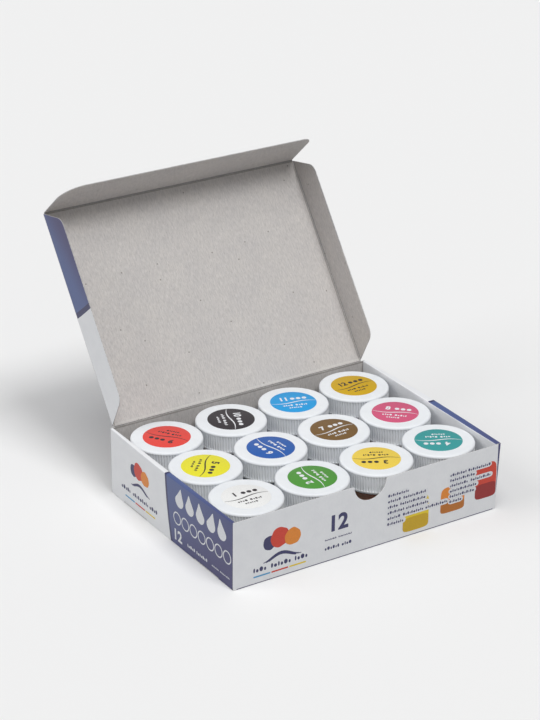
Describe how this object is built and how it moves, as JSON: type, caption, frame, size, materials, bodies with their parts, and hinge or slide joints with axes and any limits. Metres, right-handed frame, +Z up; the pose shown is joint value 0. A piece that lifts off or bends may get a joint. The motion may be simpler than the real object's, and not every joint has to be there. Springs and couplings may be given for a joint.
{
  "type": "gouache paint set box",
  "caption": "Folding board paint box with a hinged tuck lid, doubled side walls and a thumb notch, holding rows of screw-capped jars of gouache.",
  "frame": {"origin": "centre of the underside of the tray, on the surface it stands on", "axes": "+X to the right along the front wall, +Y from the front wall to the hinge, +Z up"},
  "size_m": [0.1785, 0.209, 0.1651],
  "materials": {
    "white_board": "satin",
    "grey_board": "matte",
    "lid_board": "matte",
    "printed_board": "satin",
    "jar_plastic": "satin",
    "cap_plastic": "satin",
    "seal_foam": "matte",
    "paint_white": "satin",
    "paint_green": "satin",
    "paint_dark_yellow": "satin",
    "paint_teal": "satin",
    "paint_yellow": "satin",
    "paint_blue": "satin",
    "paint_brown": "satin",
    "paint_pink": "satin",
    "paint_red": "satin",
    "paint_black": "satin",
    "paint_light_blue": "satin",
    "paint_ochre": "satin"
  },
  "bodies": {
    "tray": {"base_panel": "grey_board", "front_wall": "white_board", "back_wall": "grey_board", "left_outer_wall": "printed_board", "left_inner_wall": "white_board", "right_outer_wall": "printed_board", "right_inner_wall": "white_board", "corner_flaps": "white_board"},
    "lid": {"lid_panel": "lid_board"},
    "tuck_flap": {"tuck_flap": "lid_board"},
    "left_lid_flap": {"left_lid_flap": "printed_board"},
    "right_lid_flap": {"right_lid_flap": "lid_board"},
    "jar_white": {"jar_white": "jar_plastic", "paint_white": "paint_white"},
    "seal_white": {"seal_white": "seal_foam"},
    "cap_white": {"cap_white": "cap_plastic"},
    "jar_green": {"jar_green": "jar_plastic", "paint_green": "paint_green"},
    "seal_green": {"seal_green": "seal_foam"},
    "cap_green": {"cap_green": "cap_plastic"},
    "jar_dark_yellow": {"jar_dark_yellow": "jar_plastic", "paint_dark_yellow": "paint_dark_yellow"},
    "seal_dark_yellow": {"seal_dark_yellow": "seal_foam"},
    "cap_dark_yellow": {"cap_dark_yellow": "cap_plastic"},
    "jar_teal": {"jar_teal": "jar_plastic", "paint_teal": "paint_teal"},
    "seal_teal": {"seal_teal": "seal_foam"},
    "cap_teal": {"cap_teal": "cap_plastic"},
    "jar_yellow": {"jar_yellow": "jar_plastic", "paint_yellow": "paint_yellow"},
    "seal_yellow": {"seal_yellow": "seal_foam"},
    "cap_yellow": {"cap_yellow": "cap_plastic"},
    "jar_blue": {"jar_blue": "jar_plastic", "paint_blue": "paint_blue"},
    "seal_blue": {"seal_blue": "seal_foam"},
    "cap_blue": {"cap_blue": "cap_plastic"},
    "jar_brown": {"jar_brown": "jar_plastic", "paint_brown": "paint_brown"},
    "seal_brown": {"seal_brown": "seal_foam"},
    "cap_brown": {"cap_brown": "cap_plastic"},
    "jar_pink": {"jar_pink": "jar_plastic", "paint_pink": "paint_pink"},
    "seal_pink": {"seal_pink": "seal_foam"},
    "cap_pink": {"cap_pink": "cap_plastic"},
    "jar_red": {"jar_red": "jar_plastic", "paint_red": "paint_red"},
    "seal_red": {"seal_red": "seal_foam"},
    "cap_red": {"cap_red": "cap_plastic"},
    "jar_black": {"jar_black": "jar_plastic", "paint_black": "paint_black"},
    "seal_black": {"seal_black": "seal_foam"},
    "cap_black": {"cap_black": "cap_plastic"},
    "jar_light_blue": {"jar_light_blue": "jar_plastic", "paint_light_blue": "paint_light_blue"},
    "seal_light_blue": {"seal_light_blue": "seal_foam"},
    "cap_light_blue": {"cap_light_blue": "cap_plastic"},
    "jar_ochre": {"jar_ochre": "jar_plastic", "paint_ochre": "paint_ochre"},
    "seal_ochre": {"seal_ochre": "seal_foam"},
    "cap_ochre": {"cap_ochre": "cap_plastic"}
  },
  "joints": [
    {"name": "lid_hinge", "type": "hinge", "parent": "tray", "child": "lid", "pos_m": [0, 0.0655, 0.0405], "axis": [-1, 0, 0], "range_deg": [-126.8, 60]},
    {"name": "tuck_fold", "type": "hinge", "parent": "lid", "child": "tuck_flap", "pos_m": [0, 0.14353, 0.14372], "axis": [1, 0, 0], "range_deg": [-6.25, 13.1]},
    {"name": "left_flap_fold", "type": "hinge", "parent": "lid", "child": "left_lid_flap", "pos_m": [-0.0852, 0.10478, 0.09192], "axis": [0, -0.599, -0.8007], "range_deg": [0, 90]},
    {"name": "right_flap_fold", "type": "hinge", "parent": "lid", "child": "right_lid_flap", "pos_m": [0.0852, 0.10478, 0.09192], "axis": [0, 0.599, 0.8007], "range_deg": [0, 90]},
    {"name": "jar_white_lift", "type": "slide", "parent": "tray", "child": "jar_white", "axis": [0, 0, 1], "range_m": [0, 0.05]},
    {"name": "seal_white_rise", "type": "slide", "parent": "jar_white", "child": "seal_white", "axis": [0, 0, 1], "range_m": [0, 0.0131]},
    {"name": "cap_white_turn", "type": "hinge", "parent": "seal_white", "child": "cap_white", "pos_m": [-0.0636, -0.0408, 0.0387], "axis": [0, 0, 1], "range_deg": [0, 1170]},
    {"name": "jar_green_lift", "type": "slide", "parent": "tray", "child": "jar_green", "axis": [0, 0, 1], "range_m": [0, 0.05]},
    {"name": "seal_green_rise", "type": "slide", "parent": "jar_green", "child": "seal_green", "axis": [0, 0, 1], "range_m": [0, 0.0131]},
    {"name": "cap_green_turn", "type": "hinge", "parent": "seal_green", "child": "cap_green", "pos_m": [-0.0212, -0.0408, 0.0387], "axis": [0, 0, 1], "range_deg": [0, 1170]},
    {"name": "jar_dark_yellow_lift", "type": "slide", "parent": "tray", "child": "jar_dark_yellow", "axis": [0, 0, 1], "range_m": [0, 0.05]},
    {"name": "seal_dark_yellow_rise", "type": "slide", "parent": "jar_dark_yellow", "child": "seal_dark_yellow", "axis": [0, 0, 1], "range_m": [0, 0.0131]},
    {"name": "cap_dark_yellow_turn", "type": "hinge", "parent": "seal_dark_yellow", "child": "cap_dark_yellow", "pos_m": [0.0212, -0.0408, 0.0387], "axis": [0, 0, 1], "range_deg": [0, 1170]},
    {"name": "jar_teal_lift", "type": "slide", "parent": "tray", "child": "jar_teal", "axis": [0, 0, 1], "range_m": [0, 0.05]},
    {"name": "seal_teal_rise", "type": "slide", "parent": "jar_teal", "child": "seal_teal", "axis": [0, 0, 1], "range_m": [0, 0.0131]},
    {"name": "cap_teal_turn", "type": "hinge", "parent": "seal_teal", "child": "cap_teal", "pos_m": [0.0636, -0.0408, 0.0387], "axis": [0, 0, 1], "range_deg": [0, 1170]},
    {"name": "jar_yellow_lift", "type": "slide", "parent": "tray", "child": "jar_yellow", "axis": [0, 0, 1], "range_m": [0, 0.05]},
    {"name": "seal_yellow_rise", "type": "slide", "parent": "jar_yellow", "child": "seal_yellow", "axis": [0, 0, 1], "range_m": [0, 0.0131]},
    {"name": "cap_yellow_turn", "type": "hinge", "parent": "seal_yellow", "child": "cap_yellow", "pos_m": [-0.0636, 0.0009, 0.0387], "axis": [0, 0, 1], "range_deg": [0, 1170]},
    {"name": "jar_blue_lift", "type": "slide", "parent": "tray", "child": "jar_blue", "axis": [0, 0, 1], "range_m": [0, 0.05]},
    {"name": "seal_blue_rise", "type": "slide", "parent": "jar_blue", "child": "seal_blue", "axis": [0, 0, 1], "range_m": [0, 0.0131]},
    {"name": "cap_blue_turn", "type": "hinge", "parent": "seal_blue", "child": "cap_blue", "pos_m": [-0.0212, 0.0009, 0.0387], "axis": [0, 0, 1], "range_deg": [0, 1170]},
    {"name": "jar_brown_lift", "type": "slide", "parent": "tray", "child": "jar_brown", "axis": [0, 0, 1], "range_m": [0, 0.05]},
    {"name": "seal_brown_rise", "type": "slide", "parent": "jar_brown", "child": "seal_brown", "axis": [0, 0, 1], "range_m": [0, 0.0131]},
    {"name": "cap_brown_turn", "type": "hinge", "parent": "seal_brown", "child": "cap_brown", "pos_m": [0.0212, 0.0009, 0.0387], "axis": [0, 0, 1], "range_deg": [0, 1170]},
    {"name": "jar_pink_lift", "type": "slide", "parent": "tray", "child": "jar_pink", "axis": [0, 0, 1], "range_m": [0, 0.05]},
    {"name": "seal_pink_rise", "type": "slide", "parent": "jar_pink", "child": "seal_pink", "axis": [0, 0, 1], "range_m": [0, 0.0131]},
    {"name": "cap_pink_turn", "type": "hinge", "parent": "seal_pink", "child": "cap_pink", "pos_m": [0.0636, 0.0009, 0.0387], "axis": [0, 0, 1], "range_deg": [0, 1170]},
    {"name": "jar_red_lift", "type": "slide", "parent": "tray", "child": "jar_red", "axis": [0, 0, 1], "range_m": [0, 0.05]},
    {"name": "seal_red_rise", "type": "slide", "parent": "jar_red", "child": "seal_red", "axis": [0, 0, 1], "range_m": [0, 0.0131]},
    {"name": "cap_red_turn", "type": "hinge", "parent": "seal_red", "child": "cap_red", "pos_m": [-0.0636, 0.0426, 0.0387], "axis": [0, 0, 1], "range_deg": [0, 1170]},
    {"name": "jar_black_lift", "type": "slide", "parent": "tray", "child": "jar_black", "axis": [0, 0, 1], "range_m": [0, 0.05]},
    {"name": "seal_black_rise", "type": "slide", "parent": "jar_black", "child": "seal_black", "axis": [0, 0, 1], "range_m": [0, 0.0131]},
    {"name": "cap_black_turn", "type": "hinge", "parent": "seal_black", "child": "cap_black", "pos_m": [-0.0212, 0.0426, 0.0387], "axis": [0, 0, 1], "range_deg": [0, 1170]},
    {"name": "jar_light_blue_lift", "type": "slide", "parent": "tray", "child": "jar_light_blue", "axis": [0, 0, 1], "range_m": [0, 0.05]},
    {"name": "seal_light_blue_rise", "type": "slide", "parent": "jar_light_blue", "child": "seal_light_blue", "axis": [0, 0, 1], "range_m": [0, 0.0131]},
    {"name": "cap_light_blue_turn", "type": "hinge", "parent": "seal_light_blue", "child": "cap_light_blue", "pos_m": [0.0212, 0.0426, 0.0387], "axis": [0, 0, 1], "range_deg": [0, 1170]},
    {"name": "jar_ochre_lift", "type": "slide", "parent": "tray", "child": "jar_ochre", "axis": [0, 0, 1], "range_m": [0, 0.05]},
    {"name": "seal_ochre_rise", "type": "slide", "parent": "jar_ochre", "child": "seal_ochre", "axis": [0, 0, 1], "range_m": [0, 0.0131]},
    {"name": "cap_ochre_turn", "type": "hinge", "parent": "seal_ochre", "child": "cap_ochre", "pos_m": [0.0636, 0.0426, 0.0387], "axis": [0, 0, 1], "range_deg": [0, 1170]}
  ],
  "couplings": [
    {"joint": "tuck_fold", "follows": "lid_hinge", "ratio": -0.10252},
    {"joint": "seal_white_rise", "follows": "cap_white_turn", "m_per_rad": 0.00063662},
    {"joint": "seal_green_rise", "follows": "cap_green_turn", "m_per_rad": 0.00063662},
    {"joint": "seal_dark_yellow_rise", "follows": "cap_dark_yellow_turn", "m_per_rad": 0.00063662},
    {"joint": "seal_teal_rise", "follows": "cap_teal_turn", "m_per_rad": 0.00063662},
    {"joint": "seal_yellow_rise", "follows": "cap_yellow_turn", "m_per_rad": 0.00063662},
    {"joint": "seal_blue_rise", "follows": "cap_blue_turn", "m_per_rad": 0.00063662},
    {"joint": "seal_brown_rise", "follows": "cap_brown_turn", "m_per_rad": 0.00063662},
    {"joint": "seal_pink_rise", "follows": "cap_pink_turn", "m_per_rad": 0.00063662},
    {"joint": "seal_red_rise", "follows": "cap_red_turn", "m_per_rad": 0.00063662},
    {"joint": "seal_black_rise", "follows": "cap_black_turn", "m_per_rad": 0.00063662},
    {"joint": "seal_light_blue_rise", "follows": "cap_light_blue_turn", "m_per_rad": 0.00063662},
    {"joint": "seal_ochre_rise", "follows": "cap_ochre_turn", "m_per_rad": 0.00063662}
  ]
}
